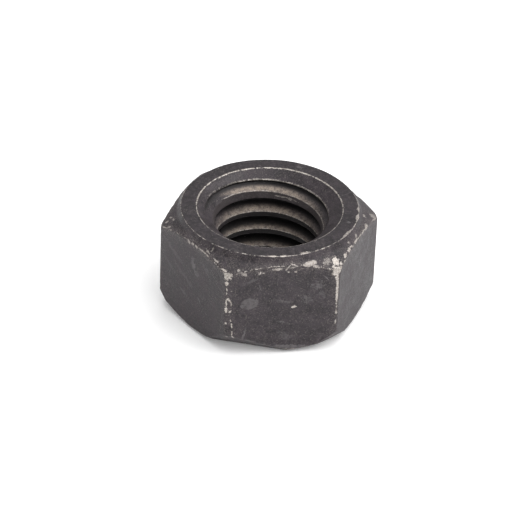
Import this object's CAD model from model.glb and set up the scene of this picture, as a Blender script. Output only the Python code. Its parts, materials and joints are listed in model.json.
import bpy
import json
import math
import numpy as np
from mathutils import Matrix, Vector, noise


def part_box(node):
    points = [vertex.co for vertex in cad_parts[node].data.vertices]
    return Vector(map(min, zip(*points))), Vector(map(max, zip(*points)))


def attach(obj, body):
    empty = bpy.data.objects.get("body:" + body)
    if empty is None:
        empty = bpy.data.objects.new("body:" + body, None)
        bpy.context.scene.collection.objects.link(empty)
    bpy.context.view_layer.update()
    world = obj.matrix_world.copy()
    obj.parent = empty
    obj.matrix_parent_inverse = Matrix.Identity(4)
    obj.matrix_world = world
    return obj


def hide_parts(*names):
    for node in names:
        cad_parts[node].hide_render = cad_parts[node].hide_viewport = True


# A worn, black-oxide hex nut on a pale floor.
# Sizes are in millimetres until a mesh or an object is made, and everything made is in metres, in the
# row frame: bearing face at z = 0, thread axis on Z, two corners of the hexagon on the X axis.

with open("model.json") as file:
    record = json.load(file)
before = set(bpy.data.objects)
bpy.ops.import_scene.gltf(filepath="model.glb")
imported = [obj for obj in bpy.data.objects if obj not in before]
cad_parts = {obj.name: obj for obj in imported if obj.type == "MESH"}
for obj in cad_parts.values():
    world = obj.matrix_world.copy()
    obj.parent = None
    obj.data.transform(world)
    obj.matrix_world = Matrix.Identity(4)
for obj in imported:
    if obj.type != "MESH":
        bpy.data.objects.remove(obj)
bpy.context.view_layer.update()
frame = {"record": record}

MM = 0.001
low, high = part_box("hex_nut")
thread_mount = next(m for m in frame["record"]["mounts"] if m["name"] == "thread")

# ---------------------------------------------------------------- sizes
HEIGHT = (high.z - low.z) / MM
WIDTH = (high.y - low.y) / MM
APOTHEM = WIDTH / 2
SIDES = 6
SECTOR = 360 / SIDES
# How far each side of the hexagon stands out past the true size, from the one that faces 30 degrees.
SIDE_SHIFT = (0, 0, 0, 0.02, 0, 0.1)
CORNER_BLEND = 0.2
WASHER_R = 6.7
WASHER_FOOT_R = 6.95
WASHER_STEP = 0.47
TOP_SLOPE = math.tan(math.radians(30))
BEARING_R = 6.8
BOTTOM_SLOPE = math.tan(math.radians(36))
SINK_R = 5.5
SINK_SLOPE = 1.2
SINK_BLEND = 0.03

# The thread. Its crests flare a little towards each mouth.
CREST_R = thread_mount["dims"]["r_mm"]
ROOT_R = 4.88
PITCH = 25.4 / 16
FLANK = math.tan(math.radians(30))
THREAD_START = -0.74
THREAD_TURNS = range(-1, 8)
ROOT_HALF = 0.071
CREST_HALF = ROOT_HALF + (ROOT_R - CREST_R) * FLANK
MOUTH_DEPTH = 2.2
MOUTH_SLOPE = 0.24
FIRST_CREST_R = CREST_R + 0.1
FLARE_STEPS = 3

# ---------------------------------------------------------------- mesh density
COLUMNS_PER_SIDE = 64
COLUMNS = SIDES * COLUMNS_PER_SIDE
CORNER_CROWDING = 0.62
EDGE_ROWS = 4
BORE_ROWS = 124
SINK_COARSE_START = 0.1
SINK_COARSE_DEPTH = 0.56
SINK_COARSE_ROWS = 4

# The turns of the nut's outline, from the top countersink round the outside to the bottom one.
TOP_SINK, WASHER_RIM, WASHER_FOOT, TOP_EDGE, BOTTOM_EDGE, BEARING_RIM, BOTTOM_SINK = range(7)
# How far from each turn its rounding starts, and the rows of mesh on each run between two turns.
TURN_SETBACK = (0.05, 0.06, 0.12, 0.07, 0.11, 0.08, 0.05)
LARGEST_SETBACK = 0.45
RUN_ROWS = (9, 4, 10, 50, 11, 9)


# ---------------------------------------------------------------- formulas
def ramp(start, end, x):
    """Rises smoothly from 0 at start to 1 at end."""
    t = np.clip((x - start) / (end - start), 0, 1)
    return t * t * (3 - 2 * t)


def near(distance, width):
    """1 on a line or spot, falling to 0 over about the width."""
    return np.exp(-(distance / width) ** 2)


def smooth_max(a, b, width):
    blend = np.clip(0.5 + 0.5 * (a - b) / width, 0, 1)
    return b + (a - b) * blend + width * blend * (1 - blend)


def degrees_past(theta, azimuth):
    """Signed angle of each column from an azimuth, in degrees."""
    return (np.degrees(theta) - azimuth + 180) % 360 - 180


def direction(azimuth, elevation):
    a, e = math.radians(azimuth), math.radians(elevation)
    return np.array([math.cos(a) * math.cos(e), math.sin(a) * math.cos(e), math.sin(e)])


# How far each seed moves the noise.
SEED_STEP = (17.3, 5.1, 9.7)


def noise_at(points, size, seed):
    """Smooth noise from about -1 to 1 at points in millimetres, with features of that size."""
    shifted = points.reshape(-1, 3) / size + np.array(SEED_STEP) * seed
    return np.array([noise.noise(p) for p in shifted.tolist()]).reshape(points.shape[:-1])


def column_angles():
    """Azimuths of the columns, crowded together near the corners of the hexagon."""
    side = np.arange(COLUMNS) // COLUMNS_PER_SIDE
    step = (np.arange(COLUMNS) % COLUMNS_PER_SIDE) / COLUMNS_PER_SIDE * 2 - 1
    crowded = step + CORNER_CROWDING * np.sin(np.pi * step) / np.pi
    return np.radians(SECTOR * side + SECTOR / 2 + SECTOR / 2 * crowded)


def middle_of_side(side):
    """Azimuth of the middle of a side, in radians."""
    return np.radians(SECTOR * side + SECTOR / 2)


def off_corner(theta):
    """Signed angle from the nearest corner of the hexagon, in radians."""
    sector = math.radians(SECTOR)
    return (theta + sector / 2) % sector - sector / 2


def side_distance(theta, side):
    """Distance from the axis to the plane of one side, along each azimuth."""
    apothem = APOTHEM + np.array(SIDE_SHIFT)[side % SIDES]
    return apothem / np.cos(theta - middle_of_side(side))


def hexagon_radius(theta):
    """Distance from the axis to the outside of the hexagon, whose corners are rounded."""
    side = np.floor(theta / math.radians(SECTOR)).astype(int)
    neighbour = side + np.where(theta > middle_of_side(side), 1, -1)
    return -smooth_max(-side_distance(theta, side), -side_distance(theta, neighbour), CORNER_BLEND)


def groove_offset(theta, z):
    """Height above the middle of the nearest turn of the thread's groove."""
    turn = (z - THREAD_START) / PITCH - theta / (2 * math.pi)
    return (turn - np.round(turn)) * PITCH


def mouth_radius(z):
    """Radius of the thread's crests."""
    depth = np.minimum(z, HEIGHT - z)
    return CREST_R + np.maximum(MOUTH_DEPTH - depth, 0) * MOUTH_SLOPE


def groove_half(z):
    """Half the width of the groove where it meets the crests."""
    return ROOT_HALF + (ROOT_R - mouth_radius(z)) * FLANK


def thread_radius(theta, z):
    slant = ROOT_R - (np.abs(groove_offset(theta, z)) - ROOT_HALF) / FLANK
    return np.maximum(np.minimum(slant, ROOT_R), mouth_radius(z))


def sink_radius(z):
    """Radius of the countersink at the nearer end."""
    return SINK_R - np.minimum(z, HEIGHT - z) * SINK_SLOPE


# ---------------------------------------------------------------- the nut as a grid of rows and columns
def outline_turns(theta):
    """Radius and height of each turn of the outside, column by column."""
    side = hexagon_radius(theta)
    same = np.ones_like(theta)
    return [
        (SINK_R * same, HEIGHT * same),
        (WASHER_R * same, HEIGHT * same),
        (WASHER_FOOT_R * same, (HEIGHT - WASHER_STEP) * same),
        (side, HEIGHT - WASHER_STEP - (side - WASHER_FOOT_R) * TOP_SLOPE),
        (side, (side - BEARING_R) * BOTTOM_SLOPE),
        (BEARING_R * same, 0 * same),
        (SINK_R * same, 0 * same),
    ]


def edge_rows(before, turn, after, setback):
    """Rows that round off one turn of the outline."""
    turn = np.array(turn)
    back = np.array(before) - turn
    forward = np.array(after) - turn
    back_length = np.hypot(*back)
    forward_length = np.hypot(*forward)
    reach = np.minimum(setback, LARGEST_SETBACK * np.minimum(back_length, forward_length))
    start = turn + back / back_length * reach
    finish = turn + forward / forward_length * reach
    steps = np.linspace(0, 1, EDGE_ROWS)
    return [(1 - t) ** 2 * start + 2 * t * (1 - t) * turn + t ** 2 * finish for t in steps]


def outline_rows(theta):
    """Every row of the outside, from the top rim of the bore to the bottom rim."""
    turns = outline_turns(theta)
    inner = SINK_R - SINK_COARSE_DEPTH * SINK_SLOPE
    same = np.ones_like(theta)
    start = (inner * same, (HEIGHT - SINK_COARSE_DEPTH) * same)
    finish = (inner * same, SINK_COARSE_DEPTH * same)
    path = [start] + turns + [finish]
    edges = [edge_rows(path[n], path[n + 1], path[n + 2], TURN_SETBACK[n]) for n in range(len(turns))]
    rows = []
    for n, count in enumerate(RUN_ROWS):
        rows.extend(edges[n])
        for t in np.linspace(0, 1, count + 2)[1:-1]:
            rows.append(edges[n][-1] * (1 - t) + edges[n + 1][0] * t)
    return rows + edges[-1]


def profile_turns(middle):
    """Heights at which one groove's profile turns, by the height of its middle."""
    heights = [middle - ROOT_HALF, middle + ROOT_HALF]
    for side in (-1, 1):
        height = middle + side * CREST_HALF
        # The groove's width depends on this height too, so a few steps close in on it.
        for _ in range(FLARE_STEPS):
            height = middle + side * groove_half(height)
        heights.append(height)
    # The radius of the top countersink is cone + height * SINK_SLOPE, and a flank may end on it.
    cone = SINK_R - HEIGHT * SINK_SLOPE
    upper = (ROOT_R + (middle + ROOT_HALF) / FLANK - cone) / (SINK_SLOPE + 1 / FLANK)
    lower = (cone - ROOT_R + (middle - ROOT_HALF) / FLANK) / (1 / FLANK - SINK_SLOPE)
    for height in (upper, lower):
        radius = cone + height * SINK_SLOPE
        if mouth_radius(height) < radius < ROOT_R:
            heights.append(height)
    return heights


def bore_heights(theta):
    """Heights of the bore's rows in each column. The fine rows keep to the turns of the thread's profile."""
    coarse = np.linspace(SINK_COARSE_START, SINK_COARSE_DEPTH, SINK_COARSE_ROWS, endpoint=False)
    fine = np.linspace(SINK_COARSE_DEPTH, HEIGHT - SINK_COARSE_DEPTH, BORE_ROWS)
    z = np.concatenate([coarse, fine, HEIGHT - coarse[::-1]])
    grid = np.repeat(z[:, None], COLUMNS, axis=1)
    first, last = len(coarse) + 1, len(z) - len(coarse) - 2
    for column, angle in enumerate(theta):
        for turn in THREAD_TURNS:
            middle = THREAD_START + PITCH * (angle / (2 * math.pi) + turn)
            for height in profile_turns(middle):
                row = int(np.abs(z - height).argmin())
                if first <= row <= last:
                    grid[row, column] = height
    return grid


def nut_grid(theta):
    """Radius and height of every vertex, rows by columns, and 1 on the rows of the outside."""
    outside = outline_rows(theta)
    z_bore = bore_heights(theta)
    r_bore = smooth_max(thread_radius(theta, z_bore), sink_radius(z_bore), SINK_BLEND)
    r = np.vstack([[row[0] for row in outside], r_bore])
    z = np.vstack([[row[1] for row in outside], z_bore])
    is_outside = (np.arange(len(r))[:, None] < len(outside)) * np.ones_like(r)
    return r, z, is_outside


def grid_normals(points):
    """Outward normals of the wrapped grid."""
    along = np.roll(points, -1, axis=0) - np.roll(points, 1, axis=0)
    around = np.roll(points, -1, axis=1) - np.roll(points, 1, axis=1)
    normal = np.cross(along, around)
    return normal / np.maximum(np.linalg.norm(normal, axis=-1, keepdims=True), 1e-9)


def grid_mesh(name, points):
    """A closed mesh from a grid whose rows and columns both wrap round."""
    rows, columns = points.shape[:2]
    index = np.arange(rows * columns).reshape(rows, columns)
    below = np.roll(index, -1, axis=0)
    quads = np.stack([index, below, np.roll(below, -1, axis=1), np.roll(index, -1, axis=1)], axis=-1)
    mesh = bpy.data.meshes.new(name)
    mesh.from_pydata((points * MM).reshape(-1, 3).tolist(), [], quads.reshape(-1, 4).tolist())
    mesh.polygons.foreach_set("use_smooth", [True] * len(mesh.polygons))
    mesh.update()
    return mesh


# ---------------------------------------------------------------- places on the nut
def raised(radius, azimuth, height):
    """The point at that distance from the axis, azimuth and height."""
    return radius * direction(azimuth, 0) + np.array([0, 0, height])


def on_corner(azimuth, height):
    """A point of an upright corner edge."""
    return raised(float(hexagon_radius(np.array([math.radians(azimuth)]))[0]), azimuth, height)


def on_flat(azimuth, along, height):
    """A point of the flat that faces that azimuth, by its distance from the flat's middle line."""
    return raised(APOTHEM, azimuth, height) + along * direction(azimuth + 90, 0)


def on_chamfer(azimuth, radius):
    """A point of the top chamfer."""
    return raised(radius, azimuth, HEIGHT - WASHER_STEP - (radius - WASHER_FOOT_R) * TOP_SLOPE)


def on_rim(azimuth, radius):
    """A point of the washer face."""
    return raised(radius, azimuth, HEIGHT)


def on_cone(azimuth, radius):
    """A point of the top countersink."""
    return raised(radius, azimuth, HEIGHT - (SINK_R - radius) / SINK_SLOPE)


def on_bore(azimuth, height):
    """A point of the thread's first crest, which the mouth's flare widens a little."""
    return raised(FIRST_CREST_R, azimuth, height)


# ---------------------------------------------------------------- shape of the wear
TOP_CORNER_Z = 7.22
BOTTOM_CORNER_Z = 1.02
# Facets worn flat on the corners: azimuth and height of the place, azimuth and elevation of the facet,
# depth, and how bare the steel is.
WORN_FACETS = [
    (240, TOP_CORNER_Z, 243, 26, 0.15, 1.0),
    (300, TOP_CORNER_Z, 301, 28, 0.17, 1.0),
    (0, TOP_CORNER_Z, 355, 36, 0.10, 0.5),
    (180, TOP_CORNER_Z, 186, 36, 0.10, 0.4),
    (60, TOP_CORNER_Z, 64, 32, 0.07, 0.7),
    (120, TOP_CORNER_Z, 117, 34, 0.12, 0.9),
    (240, BOTTOM_CORNER_Z, 250, -45, 0.60, 0.1),
    (300, BOTTOM_CORNER_Z, 304, -36, 0.36, 0.1),
    (0, BOTTOM_CORNER_Z, 2, -38, 0.08, 0.2),
    (180, BOTTOM_CORNER_Z + 0.1, 178, -30, 0.17, 0.2),
    (60, BOTTOM_CORNER_Z, 58, -40, 0.14, 0.6),
    (120, BOTTOM_CORNER_Z, 123, -36, 0.09, 0.5),
]
# How much of what stands past a facet is pressed down, and how far past it counts as the same corner.
PRESSED = 0.92
FACET_REACH = 3
# Size and depth of the broad and fine unevenness of the outside, and of the chips in its edges.
BROAD_WAVES = (2.6, 0.022)
FINE_WAVES = (0.9, 0.008)
CHIPS = (0.42, 0.07)
CHIP_SPREAD = 0.05


def wear_down(points):
    """Presses the corners' facets into the grid. Returns the points and how bare each one is."""
    bare = np.zeros(points.shape[:-1])
    for azimuth, height, facing, elevation, depth, strength in WORN_FACETS:
        normal = direction(facing, elevation)
        plane = on_corner(azimuth, height) @ normal - depth
        past = np.maximum(points @ normal - plane, 0)
        past[past > FACET_REACH * depth] = 0
        points = points - past[..., None] * normal * PRESSED
        bare = np.maximum(bare, ramp(0.005, 0.05, past) * strength)
    return points, bare


def roughen(points, edges):
    """Gives the outside the slight unevenness of a forged and tumbled part."""
    waves = 0
    for seed, (size, depth) in enumerate((BROAD_WAVES, FINE_WAVES), start=1):
        waves = waves + noise_at(points, size, seed) * depth
    chips = np.minimum(noise_at(points, CHIPS[0], 3) + CHIP_SPREAD, 0) * CHIPS[1] * edges
    return points + grid_normals(points) * (waves + chips)[..., None]


# ---------------------------------------------------------------- where the material changes
# Each field gives every vertex a number that the material reads as an attribute.

# Lines along the turns of the outline: turn, half width in millimetres, and strength.
EDGE_LINES = [(TOP_EDGE, 0.13, 1), (BOTTOM_EDGE, 0.10, 0.8)]
RUBBED_LINES = [(TOP_EDGE, 0.5, 1), (WASHER_RIM, 0.4, 0.8)]
RIM_LINES = [(WASHER_RIM, 0.065, 0.72), (BEARING_RIM, 0.06, 0.85), (BOTTOM_SINK, 0.05, 0.85)]
# The line round the top countersink is wider at the rear by the second number, and narrower in front.
SINK_LINE = (0.06, 0.018)
# Half width and strength of the lines along the upright corners.
CORNER_EDGE = (0.12, 0.75)
CORNER_RUBBED = (0.5, 0.6)


def along_turns(theta, r, z, lines):
    """The strongest of the lines at every vertex."""
    turns = outline_turns(theta)
    total = np.zeros_like(r)
    for turn, width, strength in lines:
        off_line = np.hypot(r - turns[turn][0], z - turns[turn][1])
        total = np.maximum(total, strength * near(off_line, width))
    return total


def along_corners(theta, line):
    width, strength = line
    return strength * near(hexagon_radius(theta) * np.sin(off_corner(theta)), width)


def edge_field(theta, r, z, outside):
    """1 along the edges of the chamfers and the corners of the hexagon."""
    on_side = ramp(0.2, 0.0, np.abs(r - hexagon_radius(theta)))
    corners = along_corners(theta, CORNER_EDGE) * on_side
    return np.maximum(along_turns(theta, r, z, EDGE_LINES), corners) * outside


def rubbed_field(theta, r, z, outside):
    """1 near the edges, falling slowly, where the finish is thin and speckled."""
    top_edge_z = outline_turns(theta)[TOP_EDGE][1]
    under_washer_face = ramp(-0.05, 0.05, HEIGHT - 0.1 - z)
    not_far_up = ramp(0.05, -0.1, z - top_edge_z - 0.5)
    chamfer = along_turns(theta, r, z, RUBBED_LINES) * under_washer_face * not_far_up
    return np.maximum(chamfer, along_corners(theta, CORNER_RUBBED)) * outside


def rim_field(theta, r, z, outside):
    """1 along the sharp circles of the washer face, the bearing face and the countersinks."""
    sink_width = SINK_LINE[0] + SINK_LINE[1] * np.sin(theta)
    return along_turns(theta, r, z, [(TOP_SINK, sink_width, 1)] + RIM_LINES) * outside


# The thread's upward flanks are rubbed most at this azimuth, and for about so many degrees on each side.
RUBBED_AZIMUTH = 88
RUBBED_REACH = 52
# On the first turn the rubbed stretch reaches so much further to the left.
FIRST_TURN_EXTRA = 34
# The lip of the first groove is brightest about this azimuth.
LIP_AZIMUTH = 75
# Depths under the washer face between which the grooves turn quite black.
BLACK_FROM = 2.3
BLACK_TO = 4.2


def lip_field(theta, offset, past_cone, bore):
    """1 along the line where the first groove cuts into the countersink."""
    line = np.where(past_cone < 0, near(past_cone, 0.28), near(past_cone, 0.06))
    on_upper_edge = ramp(-0.02, 0.04, offset) * ramp(CREST_HALF + 0.1, CREST_HALF - 0.02, offset)
    bright = 0.35 + 0.65 * ramp(86, 62, np.abs(degrees_past(theta, LIP_AZIMUTH)))
    return 1.3 * line * on_upper_edge * bright * bore


def bore_fields(theta, z, bore):
    """The parts of the thread: edges of the crests, rubbed upward flanks, black roots and crest lands."""
    past_cone = thread_radius(theta, z) - sink_radius(z)
    on_thread = bore * (1 - bore * ramp(-0.01, 0.05, -past_cone))
    offset = groove_offset(theta, z)
    faces_up = np.where(offset < 0, 1.0, 0.0)
    off_middle = np.abs(offset)
    half = groove_half(z)
    crest = near(off_middle - half, 0.04) * on_thread * (0.35 + 0.65 * faces_up)
    rise = np.clip((off_middle - ROOT_HALF) / (half - ROOT_HALF), 0, 1)
    land = ramp(-0.02, 0.02, off_middle - half) * on_thread

    depth = HEIGHT - z
    black = ramp(BLACK_FROM, BLACK_TO, depth)
    off_rubbed = degrees_past(theta, RUBBED_AZIMUTH)
    reach = RUBBED_REACH + FIRST_TURN_EXTRA * ramp(2.4, 1.6, depth) * ramp(0, 40, off_rubbed)
    flank = faces_up * rise * ramp(0.03, 0.0, off_middle - half) * on_thread
    flank = flank * ramp(0.0, 0.14, past_cone) * (0.25 + 0.75 * near(off_rubbed, reach))
    root = ramp(0.62 + 0.30 * black, 0.12 + 0.34 * black, rise) * on_thread
    return {
        "crest": np.maximum(crest, lip_field(theta, offset, past_cone, bore)),
        "flank": flank,
        "root": np.maximum(root, 0.88 * ramp(2.4, 3.3, depth) * land),
        "land": land * (1 - black),
    }


# Moves each side's own pattern away from its neighbours'.
SIDE_PATTERN_STEP = 7.3


def surface_place(theta, r, z):
    """Place of every vertex on its own side: distance from the middle line, height, and a side number."""
    side = np.repeat(np.arange(SIDES), COLUMNS_PER_SIDE)
    along = r * np.sin(theta - middle_of_side(side))
    return np.stack([along, z, np.ones_like(r) * side * SIDE_PATTERN_STEP], axis=-1)


def build_nut():
    theta = column_angles()
    r, z, outside = nut_grid(theta)
    edges = edge_field(theta, r, z, outside)
    points, bare = wear_down(np.stack([r * np.cos(theta), r * np.sin(theta), z], axis=-1))
    points = np.where(outside[..., None] > 0, roughen(points, edges), points)
    points[..., 2] = np.maximum(points[..., 2], 0)
    mesh = grid_mesh("hex_nut_body", points)
    fields = {
        "edge": edges,
        "rim": rim_field(theta, r, z, outside),
        "facet": bare * outside,
        "rubbed": rubbed_field(theta, r, z, outside),
        "washer": ramp(-0.06, -0.02, z - HEIGHT) * outside,
        **bore_fields(theta, z, 1 - outside),
    }
    for name, values in fields.items():
        attribute = mesh.attributes.new(name, "FLOAT", "POINT")
        attribute.data.foreach_set("value", values.ravel().astype(np.float32))
    surface = mesh.attributes.new("surface", "FLOAT_VECTOR", "POINT")
    surface.data.foreach_set("vector", surface_place(theta, r, z).ravel().astype(np.float32))
    nut = bpy.data.objects.new("hex_nut_body", mesh)
    bpy.context.scene.collection.objects.link(nut)
    return nut


# ---------------------------------------------------------------- marks
FRONT, LEFT, RIGHT = 270, 210, 330
REAR, REAR_LEFT, REAR_RIGHT = 90, 150, 30
LEFT_CORNER, RIGHT_CORNER = 240, 300
# Places where the finish is rubbed through to bare steel: centre, azimuth and elevation that it faces,
# half width, half height, tilt in degrees, raggedness, strength. The rear ones are made up.
BARE_MARKS = [
    # the left corner, and the edge of the chamfer that runs back from it
    (on_corner(LEFT_CORNER, 7.12), 246, 26, 0.31, 0.30, 10, 0.7, 1.0),
    (on_chamfer(237.4, 7.90), 237, 60, 0.28, 0.07, -14, 0.5, 1.0),
    (on_chamfer(230.8, 7.48), 231, 60, 0.17, 0.07, -12, 0.9, 0.8),
    (on_chamfer(224.5, 6.88), 224, 60, 0.08, 0.18, 0, 0.8, 0.5),
    (on_chamfer(222.3, 7.10), 222, 60, 0.26, 0.06, -20, 0.9, 0.6),
    (on_chamfer(218.3, 7.22), 218, 60, 0.24, 0.06, -8, 0.8, 0.7),
    (on_chamfer(213.2, 7.20), 213, 60, 0.14, 0.06, -10, 0.8, 0.8),
    (on_chamfer(209.7, 7.18), 210, 60, 0.12, 0.06, 0, 0.8, 0.7),
    (on_chamfer(206.0, 7.22), 206, 60, 0.16, 0.06, -20, 0.8, 0.7),
    (on_chamfer(185.2, 7.72), 185, 60, 0.10, 0.18, -20, 0.9, 0.7),
    (on_chamfer(180.1, 7.76), 180, 60, 0.10, 0.20, 20, 0.9, 0.7),
    (on_chamfer(177.9, 7.41), 178, 60, 0.12, 0.16, 0, 0.9, 0.7),
    (on_chamfer(181.4, 7.28), 181, 60, 0.16, 0.07, 0, 0.9, 0.6),
    # the right corner, and the oval patch beside it
    (on_corner(RIGHT_CORNER, 7.18), 301, 20, 0.33, 0.55, -8, 0.9, 1.0),
    (on_chamfer(301.8, 7.62), 302, 60, 0.27, 0.40, 0, 0.8, 0.95),
    (on_chamfer(286.6, 7.20), 287, 60, 0.57, 0.19, 2, 0.45, 0.7),
    (on_chamfer(289.0, 7.45), 289, 60, 0.24, 0.09, -25, 0.8, 0.5),
    (on_chamfer(296.5, 7.42), 297, 60, 0.34, 0.26, 0, 1.2, 0.4),
    # the edge of the chamfer over the front flat
    (on_chamfer(244.9, 7.66), 245, 60, 0.13, 0.10, 0, 0.7, 0.6),
    (on_chamfer(248.7, 7.80), 249, 60, 0.22, 0.08, 8, 0.7, 0.6),
    (on_chamfer(256.7, 7.55), 257, 60, 0.32, 0.08, 14, 0.8, 0.8),
    (on_chamfer(266.9, 7.26), 267, 60, 0.38, 0.055, 3, 0.7, 0.8),
    (on_chamfer(272.9, 7.22), 273, 60, 0.20, 0.045, 30, 0.7, 0.6),
    (on_chamfer(276.8, 7.12), 277, 60, 0.26, 0.055, -30, 0.7, 0.6),
    (on_chamfer(275.6, 7.24), 276, 60, 0.20, 0.04, 0, 0.8, 0.5),
    (on_flat(FRONT, 0.45, 7.27), FRONT, 20, 0.08, 0.07, 0, 0.8, 0.8),
    (on_flat(FRONT, 0.95, 7.25), FRONT, 20, 0.10, 0.08, 0, 0.8, 0.9),
    # the edge of the chamfer over the right flat
    (on_chamfer(303.9, 7.90), 315, 45, 0.16, 0.14, 0, 0.9, 0.8),
    (on_chamfer(309.6, 7.56), 315, 45, 0.20, 0.12, 20, 0.9, 0.8),
    (on_chamfer(315.2, 7.36), 320, 45, 0.20, 0.11, 20, 0.9, 0.8),
    (on_chamfer(324.6, 7.24), 325, 45, 0.26, 0.07, 10, 0.9, 0.8),
    (on_chamfer(335.8, 7.28), 335, 45, 0.22, 0.07, 10, 0.9, 0.8),
    (on_chamfer(341.7, 7.36), 340, 45, 0.26, 0.13, 10, 0.9, 0.8),
    (on_chamfer(318.6, 6.98), 320, 60, 0.14, 0.08, 0, 1.0, 0.5),
    (on_chamfer(327.8, 7.02), 328, 60, 0.16, 0.08, 30, 1.0, 0.5),
    (on_chamfer(352.0, 7.10), 352, 60, 0.16, 0.10, 30, 1.0, 0.5),
    (on_chamfer(356.8, 7.86), 357, 50, 0.30, 0.30, 0, 0.7, 0.45),
    # nicks in the first crest of the thread
    (on_bore(72.8, 6.76), 253, 0, 0.24, 0.05, -4, 0.9, 0.7),
    (on_bore(65.4, 6.75), 245, 0, 0.26, 0.05, 3, 0.9, 0.7),
    (on_bore(59.1, 6.71), 239, 0, 0.16, 0.08, 0, 0.9, 0.7),
    (on_bore(51.8, 6.66), 232, 0, 0.20, 0.06, -8, 0.9, 0.5),
    # the chip in the front flat, and the upright edges on each side of it
    (on_flat(FRONT, 0.93, 4.14), FRONT, 0, 0.22, 0.10, 14, 0.6, 1.0),
    (on_corner(RIGHT_CORNER, 5.45), 298, 0, 0.095, 1.35, 0, 0.5, 0.9),
    (on_corner(RIGHT_CORNER, 3.44), 298, 0, 0.09, 0.16, 0, 0.9, 0.8),
    (on_corner(RIGHT_CORNER, 2.64), 298, 0, 0.08, 0.20, 0, 1.0, 0.7),
    (on_corner(LEFT_CORNER, 6.45), 243, 0, 0.13, 0.18, 0, 0.7, 1.0),
    (on_corner(LEFT_CORNER, 5.95), 243, 0, 0.05, 0.13, 10, 0.5, 0.8),
    (on_corner(LEFT_CORNER, 5.60), 243, 0, 0.05, 0.10, -10, 0.5, 0.8),
    (on_flat(FRONT, -4.02, 5.12), 245, 0, 0.08, 0.14, -30, 0.8, 0.9),
    (on_flat(FRONT, -4.13, 4.72), 245, 0, 0.06, 0.22, 8, 0.9, 0.9),
    (on_flat(FRONT, -4.14, 4.22), 245, 0, 0.11, 0.24, 0, 0.9, 1.0),
    (on_flat(FRONT, -3.84, 4.92), 255, 0, 0.06, 0.18, 24, 0.9, 0.8),
    (on_flat(FRONT, -3.74, 4.58), 255, 0, 0.04, 0.14, 0, 0.9, 0.7),
    (on_flat(FRONT, -3.80, 4.02), 255, 0, 0.09, 0.12, 0, 0.9, 0.9),
    (on_flat(FRONT, -3.76, 3.20), 255, 0, 0.05, 0.12, 20, 0.6, 0.8),
    (on_flat(FRONT, -3.66, 2.70), 255, 0, 0.06, 0.24, 4, 0.9, 0.9),
    (on_flat(FRONT, -3.63, 2.10), 255, 0, 0.04, 0.22, 2, 0.9, 0.8),
    (on_flat(FRONT, -3.56, 1.62), 255, 0, 0.05, 0.18, 24, 0.8, 0.9),
    (on_corner(LEFT_CORNER, 2.95), 240, 0, 0.07, 0.10, 0, 0.8, 0.8),
    (on_corner(LEFT_CORNER, 1.60), 240, 0, 0.08, 0.09, 0, 0.8, 0.8),
    # the rim of the washer face
    (on_rim(263.7, 6.66), 264, 45, 0.30, 0.08, 0, 0.5, 1.0),
    (on_rim(270.8, 6.66), 271, 45, 0.24, 0.08, 0, 0.5, 1.0),
    (on_rim(284.9, 6.60), 285, 45, 0.30, 0.10, 0, 0.9, 0.9),
    (on_rim(342.0, 6.68), 342, 45, 0.50, 0.10, 0, 0.8, 0.8),
    (on_rim(352.0, 6.68), 352, 45, 0.30, 0.08, 0, 0.8, 0.7),
    (on_rim(322.0, 6.66), 322, 45, 0.60, 0.07, 0, 0.9, 0.6),
    (on_chamfer(318.0, 7.3), 320, 50, 0.18, 0.10, 0, 0.9, 0.8),
    (on_flat(FRONT, 0.55, 0.31), FRONT, -20, 0.75, 0.07, -3, 0.7, 0.55),
    # the rear corners, flats and chamfer
    (on_corner(60, 7.05), 62, 26, 0.26, 0.24, 12, 0.9, 0.95),
    (on_corner(60, 5.70), 60, 0, 0.07, 0.50, 0, 0.9, 0.8),
    (on_corner(60, 3.10), 60, 0, 0.06, 0.35, 0, 1.0, 0.8),
    (on_corner(120, 7.10), 118, 26, 0.30, 0.26, -10, 0.9, 1.0),
    (on_corner(120, 4.60), 121, 0, 0.08, 0.70, 0, 1.0, 0.8),
    (on_flat(REAR, -1.90, 4.90), REAR, 0, 0.20, 0.09, -20, 0.7, 0.95),
    (on_flat(REAR, 1.40, 2.60), REAR, 0, 0.12, 0.07, 30, 0.8, 0.9),
    (on_flat(REAR_LEFT, 0.90, 5.40), REAR_LEFT, 0, 0.16, 0.08, 10, 0.7, 0.9),
    (on_flat(REAR_RIGHT, -1.10, 3.30), REAR_RIGHT, 0, 0.14, 0.09, -12, 0.8, 0.9),
    (on_chamfer(86.0, 7.20), 86, 60, 0.50, 0.06, 4, 0.9, 0.8),
    (on_chamfer(97.0, 7.22), 97, 60, 0.34, 0.06, -8, 0.9, 0.8),
    (on_chamfer(33.0, 7.20), 33, 60, 0.40, 0.06, 4, 0.9, 0.8),
    (on_chamfer(148.0, 7.20), 148, 60, 0.45, 0.06, -6, 0.9, 0.8),
]
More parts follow.
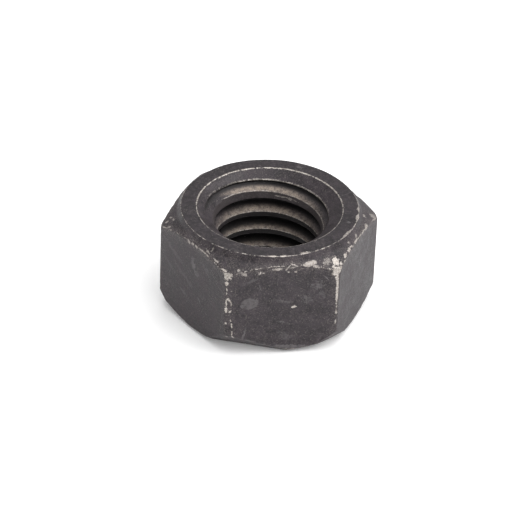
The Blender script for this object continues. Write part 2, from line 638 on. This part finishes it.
# Places where the finish is thin and paler, in the same terms.
PALE_MARKS = [
    (on_flat(FRONT, -2.40, 4.62), FRONT, 0, 0.66, 0.50, 14, 0.25, 0.75),
    (on_flat(FRONT, 2.67, 5.94), FRONT, 0, 0.50, 0.36, -20, 1.3, 0.7),
    (on_flat(FRONT, 1.90, 4.80), FRONT, 0, 0.32, 0.30, 30, 1.2, 0.65),
    (on_flat(FRONT, -0.05, 2.88), FRONT, 0, 0.34, 0.07, -14, 0.9, 0.8),
    (on_flat(FRONT, 0.80, 0.57), FRONT, 0, 1.45, 0.17, -3, 0.6, 1.0),
    (on_flat(FRONT, -1.5, 0.74), FRONT, 0, 0.70, 0.16, 6, 1.1, 0.6),
    (on_flat(FRONT, -2.75, 1.75), FRONT, 0, 0.08, 0.50, -12, 0.9, 0.9),
    (on_flat(FRONT, -2.25, 1.20), FRONT, 0, 0.40, 0.09, -22, 0.9, 0.9),
    (on_flat(FRONT, -1.65, 6.04), FRONT, 0, 0.04, 0.22, 20, 0.5, 0.6),
    (on_flat(FRONT, -2.3, 6.6), FRONT, 0, 0.50, 0.10, 24, 1.2, 0.45),
    (on_flat(FRONT, 0.10, 4.70), FRONT, 0, 0.60, 0.12, -8, 1.3, 0.5),
    (on_flat(FRONT, 0.30, 1.60), FRONT, 0, 0.50, 0.30, -20, 1.4, 0.4),
    (on_flat(FRONT, 3.00, 5.30), FRONT, 0, 0.16, 0.40, 14, 1.1, 0.5),
    (on_flat(FRONT, 3.29, 6.58), FRONT, 0, 0.30, 0.035, -48, 0.3, 1.0),
    (on_flat(LEFT, 0.11, 5.95), LEFT, 0, 0.22, 0.55, 10, 0.9, 0.7),
    (on_flat(LEFT, 0.51, 5.39), LEFT, 0, 0.26, 0.20, 0, 0.9, 0.5),
    (on_flat(LEFT, 0.90, 3.18), LEFT, 0, 0.04, 0.34, 32, 0.4, 0.9),
    (on_flat(LEFT, -1.0, 2.9), LEFT, 0, 0.50, 0.10, -20, 1.2, 0.5),
    (on_flat(LEFT, -2.4, 5.9), LEFT, 0, 1.20, 0.16, -27, 1.3, 0.32),
    (on_flat(LEFT, -1.2, 4.5), LEFT, 0, 1.40, 0.14, -27, 1.3, 0.32),
    (on_flat(LEFT, -2.8, 4.4), LEFT, 0, 0.90, 0.12, -27, 1.3, 0.32),
    (on_flat(LEFT, 1.6, 6.3), LEFT, 0, 0.50, 0.20, -27, 1.3, 0.4),
    (on_cone(125, 5.05), 305, 50, 1.90, 0.36, 0, 0.8, 0.25),
    (on_rim(56.0, 6.66), 56, 80, 0.45, 0.10, 0, 1.1, 0.8),
    (on_flat(RIGHT, 0.58, 5.45), RIGHT, 0, 0.10, 0.42, 8, 0.8, 0.8),
    (on_rim(59.7, 6.1), 60, 90, 0.26, 0.16, 0, 0.9, 0.9),
    (on_rim(334.4, 6.15), 334, 90, 0.14, 0.12, 0, 0.5, 0.9),
    (on_flat(REAR, 0.90, 4.40), REAR, 0, 0.55, 0.40, -14, 0.6, 0.7),
    (on_flat(REAR, -2.20, 2.20), REAR, 0, 0.45, 0.14, 20, 1.1, 0.7),
    (on_flat(REAR_LEFT, -1.00, 3.40), REAR_LEFT, 0, 0.50, 0.35, 10, 0.9, 0.6),
    (on_flat(REAR_RIGHT, 1.20, 5.00), REAR_RIGHT, 0, 0.40, 0.30, 18, 1.1, 0.6),
]


# ---------------------------------------------------------------- material
# Linear colours.
OXIDE_DARK = (0.0085, 0.0060, 0.0082)
OXIDE_LIGHT = (0.0480, 0.0386, 0.0450)
OXIDE_SPECK = (0.150, 0.130, 0.122)
OXIDE_SMEAR = (0.13, 0.120, 0.122)
RUBBED_FLANK = (0.285, 0.235, 0.192)
CREST_LAND = (0.080, 0.070, 0.070)
WASHER_BLACK = (0.006, 0.0045, 0.006)
ROOT_BLACK = (0.006, 0.005, 0.005)
STEEL_DARK = (0.30, 0.262, 0.234)
STEEL_LIGHT = (0.585, 0.548, 0.510)
STEEL_ROUGHNESS = 0.52
# How far in and out of the surface a mark reaches, in millimetres.
MARK_THICKNESS = 0.5
# Cycles keeps the values of a material in a stack of limited size, so marks are worked out in batches.
MARK_BATCH = 20
UNSEEN = 1e-7


class Graph:
    """Short calls for building one material's nodes."""

    def __init__(self, name):
        self.material = bpy.data.materials.new(name)
        self.material.use_nodes = True
        self.tree = self.material.node_tree
        self.tree.nodes.clear()

    def add(self, kind, inputs=(), **settings):
        node = self.tree.nodes.new(kind)
        for key, value in settings.items():
            setattr(node, key, value)
        for key, value in dict(inputs).items():
            self.feed(node.inputs[key], value)
        return node

    def feed(self, socket, value):
        if isinstance(value, bpy.types.NodeSocket):
            self.tree.links.new(value, socket)
        else:
            socket.default_value = value

    def math(self, operation, a, b):
        return self.add("ShaderNodeMath", {0: a, 1: b}, operation=operation).outputs[0]

    def times(self, a, b):
        return self.math("MULTIPLY", a, b)

    def plus(self, a, b):
        return self.math("ADD", a, b)

    def most(self, *values):
        total = values[0]
        for value in values[1:]:
            total = self.math("MAXIMUM", total, value)
        return total

    def spread(self, value, start, end, low=0.0, high=1.0):
        """Smoothly takes a value from start..end to low..high."""
        settings = {"Value": value, "From Min": start, "From Max": end, "To Min": low, "To Max": high}
        return self.add("ShaderNodeMapRange", settings, interpolation_type="SMOOTHSTEP").outputs[0]

    def field(self, name):
        return self.add("ShaderNodeAttribute", attribute_name=name).outputs["Fac"]

    def noise(self, place, scale, detail, roughness=0.55, distortion=0.0):
        settings = {"Vector": place, "Scale": scale, "Detail": detail, "Roughness": roughness}
        settings["Distortion"] = distortion
        return self.add("ShaderNodeTexNoise", settings).outputs[0]

    def mix_value(self, factor, a, b):
        """The Mix node keeps its two numbers in sockets 2 and 3."""
        return self.add("ShaderNodeMix", {0: factor, 2: a, 3: b}, data_type="FLOAT").outputs[0]

    def mix_color(self, factor, a, b):
        """The Mix node keeps its two colours in sockets 6 and 7, and their mix in output 2."""
        a, b = [(*c, 1) if isinstance(c, tuple) else c for c in (a, b)]
        return self.add("ShaderNodeMix", {0: factor, 6: a, 7: b}, data_type="RGBA").outputs[2]

    def turned(self, place, centre, rotation, size):
        """The place in a frame with that centre, rotation and unit size."""
        settings = {"Vector": place, "Location": centre, "Rotation": rotation, "Scale": size}
        return self.add("ShaderNodeMapping", settings, vector_type="TEXTURE").outputs[0]

    def mark(self, place, ragged, mark):
        """The mark's strength inside its ragged oval, and 0 outside."""
        centre, azimuth, elevation, half_width, half_height, tilt, raggedness, strength = mark
        normal = Vector(direction(azimuth, elevation))
        right = Vector(direction(azimuth + 90, 0))
        right.rotate(Matrix.Rotation(math.radians(tilt), 3, normal))
        rotation = Matrix((right, normal.cross(right), normal)).transposed().to_euler()
        inside = self.turned(place, centre, rotation, (half_width, half_height, MARK_THICKNESS))
        reach = self.add("ShaderNodeVectorMath", {0: inside}, operation="LENGTH").outputs["Value"]
        uneven = self.plus(reach, self.times(ragged, raggedness))
        return self.spread(uneven, 1.12, 0.88, 0.0, strength)

    def marks(self, place, ragged, marks):
        """The strongest of the marks at each place.

        Each batch waits for the one before, because its place depends on that batch's total. The shift is
        far too small to see.
        """
        total = 0.0
        for count, mark in enumerate(marks, start=1):
            if count % MARK_BATCH == 0:
                wait = {0: total, 1: (UNSEEN, UNSEEN, UNSEEN), 2: place}
                place = self.add("ShaderNodeVectorMath", wait, operation="MULTIPLY_ADD").outputs[0]
            total = self.math("MAXIMUM", total, self.mark(place, ragged, mark))
        return total

    def finish(self, inputs):
        shader = self.add("ShaderNodeBsdfPrincipled", inputs)
        self.add("ShaderNodeOutputMaterial", {"Surface": shader.outputs[0]})
        return self.material


def worn_edges(graph, broken, broad):
    """The edges of the chamfers and the corners of the hexagon, worn in broken lines."""
    luck = graph.plus(graph.times(broken, 0.7), graph.times(broad, 0.3))
    luck = graph.times(graph.math("SUBTRACT", luck, 0.5), 3.0)
    line = graph.field("edge")
    worn = graph.spread(graph.plus(graph.times(line, 0.9), luck), 0.86, 1.04)
    return graph.times(worn, graph.spread(line, 0.1, 0.3))


def bare_steel(graph, place):
    """How far the finish is worn through to bare steel, and how ragged the edge of a mark is there."""
    broad = graph.noise(place, 0.9, 2)
    blotches = graph.noise(place, 2.4, 4, 0.6)
    grains = graph.noise(place, 9.0, 3, 0.6)
    broken = graph.mix_value(0.5, blotches, grains)
    ragged = graph.times(graph.math("SUBTRACT", broken, 0.5), 6.0)
    rim = graph.times(graph.field("rim"), graph.spread(broken, 0.34, 0.6, 0.30, 1.2))
    facet = graph.plus(graph.field("facet"), graph.times(ragged, 0.3))
    crest = graph.times(graph.field("crest"), graph.spread(broken, 0.36, 0.6, 0.3, 1.0))
    fleck = graph.plus(grains, graph.times(graph.field("rubbed"), 0.08))
    worn = graph.most(
        graph.spread(rim, 0.35, 0.85),
        worn_edges(graph, broken, broad),
        graph.spread(facet, 0.5, 0.75),
        graph.times(graph.spread(crest, 0.3, 0.9), 0.8),
        graph.times(graph.spread(fleck, 0.70, 0.77), 0.6),
        graph.marks(place, ragged, BARE_MARKS),
    )
    return worn, ragged


def scratches(graph, surface, tilt, density):
    """Fine straight scratches on the flats, all at about one tilt."""
    turned = graph.turned(surface, (0, 0, 0), (0, 0, math.radians(tilt)), (1.6, 0.055, 1))
    lines = graph.spread(graph.noise(turned, 1.0, 2, 0.5), 0.62 - density, 0.74)
    patches = graph.spread(graph.noise(surface, 0.45, 2), 0.42, 0.62)
    return graph.times(lines, patches)


def rubbed_thread(graph, mottle, grain):
    """How rubbed and brown the upward flanks of the thread are."""
    flank = graph.spread(graph.field("flank"), 0.15, 0.7)
    flank = graph.times(flank, graph.spread(mottle, 0.3, 0.62, 0.35, 1.0))
    return graph.times(flank, graph.spread(grain, 0.36, 0.56, 0.45, 1.0))


def oxide_color(graph, tone, mottle, grain, pale, rubbed):
    """Black oxide: cloudy, speckled, smeared, brown on the flanks, and blackest in the thread's roots."""
    specks = graph.plus(grain, graph.times(graph.field("rubbed"), 0.08))
    blackened = graph.times(graph.field("washer"), graph.spread(mottle, 0.36, 0.62, 0.62, 0.22))
    color = graph.mix_color(graph.spread(tone, 0.32, 0.68), OXIDE_DARK, OXIDE_LIGHT)
    color = graph.mix_color(graph.spread(specks, 0.50, 0.72, 0.0, 0.65), color, OXIDE_SPECK)
    color = graph.mix_color(graph.times(pale, 0.6), color, OXIDE_SMEAR)
    color = graph.mix_color(rubbed, color, RUBBED_FLANK)
    color = graph.mix_color(graph.times(graph.field("land"), 0.5), color, CREST_LAND)
    color = graph.mix_color(blackened, color, WASHER_BLACK)
    return graph.mix_color(graph.times(graph.field("root"), 0.9), color, ROOT_BLACK)


def black_oxide_steel():
    graph = Graph("black_oxide_steel")
    coordinates = graph.add("ShaderNodeTexCoord").outputs["Object"]
    in_millimetres = {0: coordinates, "Scale": 1 / MM}
    place = graph.add("ShaderNodeVectorMath", in_millimetres, operation="SCALE").outputs[0]
    surface = graph.add("ShaderNodeAttribute", attribute_name="surface").outputs["Vector"]
    worn, ragged = bare_steel(graph, place)
    clouds = graph.noise(place, 0.7, 5, 0.6, 0.4)
    mottle = graph.noise(place, 3.2, 4, 0.6)
    grain = graph.noise(place, 11.0, 3, 0.7)
    tone = graph.plus(graph.times(clouds, 0.5), graph.times(mottle, 0.5))
    lines = graph.most(scratches(graph, surface, -25, 0.03), scratches(graph, surface, 64, -0.03))
    smears = graph.marks(place, ragged, PALE_MARKS)
    smears = graph.times(smears, graph.spread(mottle, 0.3, 0.6, 0.55, 1.25))
    pale = graph.most(smears, graph.times(lines, 0.75))
    rubbed = rubbed_thread(graph, mottle, grain)

    oxide = oxide_color(graph, tone, mottle, grain, pale, rubbed)
    steel = graph.mix_color(graph.spread(grain, 0.35, 0.65), STEEL_DARK, STEEL_LIGHT)
    satin = graph.spread(tone, 0.34, 0.66, 0.38, 0.64)
    satin = graph.plus(satin, graph.spread(grain, 0.3, 0.7, -0.08, 0.12))
    height = graph.plus(graph.times(grain, 0.6), graph.times(mottle, 0.8))
    height = graph.math("SUBTRACT", height, graph.times(lines, 0.5))
    bump = graph.add("ShaderNodeBump", {"Height": height, "Strength": 0.5, "Distance": 0.05 * MM})
    return graph.finish({
        "Base Color": graph.mix_color(worn, oxide, steel),
        "Metallic": graph.most(worn, graph.times(rubbed, 0.35)),
        "Roughness": graph.mix_value(worn, satin, STEEL_ROUGHNESS),
        "Normal": bump.outputs[0],
        "IOR": 1.38,
    })


def pale_floor():
    """A pale floor that glows a little, so that the shadow on it stays soft and light."""
    graph = Graph("pale_floor")
    coordinates = graph.add("ShaderNodeTexCoord").outputs["Object"]
    drift = graph.noise(coordinates, 3.0, 2)
    return graph.finish({
        "Base Color": graph.mix_color(drift, (0.94, 0.94, 0.94), (0.96, 0.96, 0.96)),
        "Roughness": 0.9,
        "Emission Color": (1, 1, 1, 1),
        "Emission Strength": 0.12,
    })


nut = build_nut()
nut.data.materials.append(black_oxide_steel())
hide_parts("hex_nut")
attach(nut, "root")

# ---------------------------------------------------------------- floor, light and camera
# Metres.
FLOOR_HALF = 3.0
# The photo's viewpoint, in degrees: a long lens, looking mostly at one flat.
CAMERA_ELEVATION = 33.9
CAMERA_AZIMUTH = -99
CAMERA_ROLL = 2.2
# In widths of the nut across its flats: the camera's distance, and where it aims from the top face's middle.
CAMERA_DISTANCE = 15
AIM_LEFT = 0.0547
AIM_DOWN = 0.2695
# Millimetres.
SENSOR = 36
LENS = 199.75

# Large soft lights: azimuth and elevation in degrees, distance and size in metres, and strength.
SOFT_LIGHTS = [
    (-28, 50, 0.5, 0.35, 0.60),
    (8, 44, 0.5, 0.30, 0.15),
]
# The sky: where it is brightest, its strength away from there and at its brightest, and how near to its
# brightest place it starts to brighten, as a cosine.
SKY_BRIGHTEST = (-20, 72)
SKY_STRENGTH = (0.55, 2.36)
SKY_SPREAD = 0.45


def build_floor():
    mesh = bpy.data.meshes.new("floor")
    corners = [(x * FLOOR_HALF, y * FLOOR_HALF, 0) for x, y in ((-1, -1), (1, -1), (1, 1), (-1, 1))]
    mesh.from_pydata(corners, [], [(0, 1, 2, 3)])
    floor = bpy.data.objects.new("floor", mesh)
    bpy.context.scene.collection.objects.link(floor)
    floor.data.materials.append(pale_floor())


def build_camera():
    azimuth, roll = math.radians(CAMERA_AZIMUTH), math.radians(CAMERA_ROLL)
    back = Vector(direction(CAMERA_AZIMUTH, CAMERA_ELEVATION))
    right = Vector((-math.sin(azimuth), math.cos(azimuth), 0))
    up = back.cross(right)
    aim = Vector((0, 0, HEIGHT)) - right * AIM_LEFT * WIDTH - up * AIM_DOWN * WIDTH
    turned_right = right * math.cos(roll) + up * math.sin(roll)
    turned_up = up * math.cos(roll) - right * math.sin(roll)
    data = bpy.data.cameras.new("camera")
    data.sensor_width = SENSOR
    data.lens = LENS
    data.clip_start = 0.01
    camera = bpy.data.objects.new("camera", data)
    bpy.context.scene.collection.objects.link(camera)
    matrix = Matrix((turned_right, turned_up, back)).transposed().to_4x4()
    matrix.translation = (aim + back * CAMERA_DISTANCE * WIDTH) * MM
    camera.matrix_world = matrix
    bpy.context.scene.camera = camera


def build_lights():
    for azimuth, elevation, distance, size, strength in SOFT_LIGHTS:
        data = bpy.data.lights.new("soft_light", "AREA")
        data.shape = "DISK"
        data.size = size
        data.energy = strength * math.pi * distance ** 2
        light = bpy.data.objects.new("soft_light", data)
        toward = Vector(direction(azimuth, elevation))
        turn = toward.to_track_quat("Z", "Y").to_matrix().to_4x4()
        light.matrix_world = Matrix.Translation(toward * distance) @ turn
        bpy.context.scene.collection.objects.link(light)


def build_world():
    """A white studio that is brightest overhead and a little to the right."""
    world = bpy.data.worlds.new("studio")
    world.use_nodes = True
    nodes, links = world.node_tree.nodes, world.node_tree.links
    coordinates = nodes.new("ShaderNodeTexCoord")
    toward = nodes.new("ShaderNodeVectorMath")
    toward.operation = "DOT_PRODUCT"
    toward.inputs[1].default_value = direction(*SKY_BRIGHTEST)
    links.new(coordinates.outputs["Generated"], toward.inputs[0])
    strength = nodes.new("ShaderNodeMapRange")
    strength.interpolation_type = "SMOOTHSTEP"
    strength.inputs["From Min"].default_value = SKY_SPREAD
    strength.inputs["To Min"].default_value = SKY_STRENGTH[0]
    strength.inputs["To Max"].default_value = SKY_STRENGTH[1]
    links.new(toward.outputs["Value"], strength.inputs["Value"])
    background = nodes["Background"]
    background.inputs["Color"].default_value = (1, 1, 1, 1)
    links.new(strength.outputs[0], background.inputs["Strength"])
    bpy.context.scene.world = world


build_floor()
build_world()
build_lights()
build_camera()
bpy.context.scene.view_settings.view_transform = "Standard"
